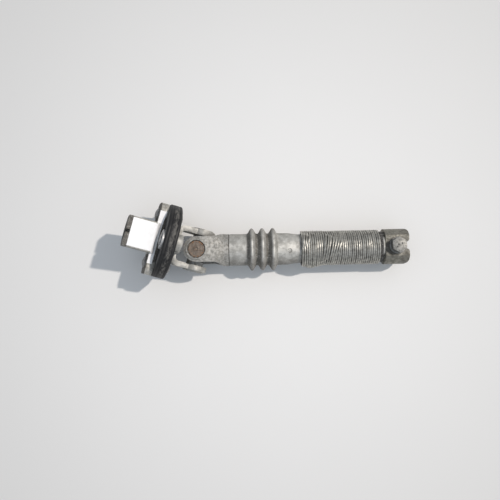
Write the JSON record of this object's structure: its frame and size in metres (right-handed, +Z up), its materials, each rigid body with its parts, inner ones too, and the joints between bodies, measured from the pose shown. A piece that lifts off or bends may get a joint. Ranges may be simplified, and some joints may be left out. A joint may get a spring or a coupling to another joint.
{
  "type": "steering universal joint",
  "caption": "Lower steering shaft with a rubber coupling disc, a universal joint, a bellows tube, a wire-wound sleeve and a slotted clamp end.",
  "frame": {"origin": "under the middle of the part's own outline, on the surface that it lies on", "axes": "+Z up, +X along the shaft from the coupling disc towards the clamp end"},
  "size_m": [0.2692, 0.0716, 0.0682],
  "materials": {
    "flange_steel": "zinc-plated forging, dull and worn",
    "disc_rubber": "black moulded rubber, dusty",
    "pressed_steel": "zinc-plated pressing, smooth",
    "forged_steel": "plated forging with light dirt",
    "cup_steel": "bare steel with brown surface rust",
    "bearing_steel": "ground bearing steel",
    "seal_rubber": "black rubber",
    "rivet_steel": "plated steel, dull",
    "washer_steel": "plated steel, bright",
    "tube_steel": "aluminised tube, satin",
    "wire_steel": "drawn wire, bright with dark grooves",
    "clamp_steel": "plated forging, slightly yellowed",
    "bolt_steel": "zinc-plated bolt"
  },
  "bodies": {
    "shaft": {"shaft_yoke": "forged_steel", "shaft_tube": "tube_steel", "winding_sleeve": "tube_steel", "wire_winding": "wire_steel", "clamp_fork": "clamp_steel", "clamp_bolt": "bolt_steel", "clamp_nut": "bolt_steel", "head_washer": "washer_steel", "nut_washer": "washer_steel", "shaft_cup_1": "cup_steel", "shaft_cup_2": "cup_steel", "shaft_needles_1": "bearing_steel", "shaft_needles_2": "bearing_steel", "shaft_seal_1": "seal_rubber", "shaft_seal_2": "seal_rubber"},
    "cross": {"cross": "bearing_steel"},
    "coupling": {"input_flange": "flange_steel", "rubber_disc": "disc_rubber", "disc_yoke": "pressed_steel", "disc_sleeve_1": "rivet_steel", "disc_sleeve_2": "rivet_steel", "disc_sleeve_3": "rivet_steel", "disc_sleeve_4": "rivet_steel", "rivet_washer_1": "washer_steel", "rivet_washer_2": "washer_steel", "rivet_washer_3": "washer_steel", "rivet_washer_4": "washer_steel", "flange_rivet_1": "rivet_steel", "flange_rivet_2": "rivet_steel", "yoke_rivet_1": "rivet_steel", "yoke_rivet_2": "rivet_steel", "disc_cup_1": "cup_steel", "disc_cup_2": "cup_steel", "disc_needles_1": "bearing_steel", "disc_needles_2": "bearing_steel", "disc_seal_1": "seal_rubber", "disc_seal_2": "seal_rubber"}
  },
  "joints": [
    {"name": "shaft_pivot", "type": "hinge", "parent": "shaft", "child": "cross", "pos_m": [-0.06384, -0.00907, 0.02462], "axis": [0.0148, 0, 0.9999], "range_deg": [-12.5, 43.5]},
    {"name": "disc_pivot", "type": "hinge", "parent": "cross", "child": "coupling", "pos_m": [-0.06384, -0.00907, 0.02462], "axis": [0.2672, 0.9636, -0.004], "range_deg": [-44.4, 11.6]}
  ]
}
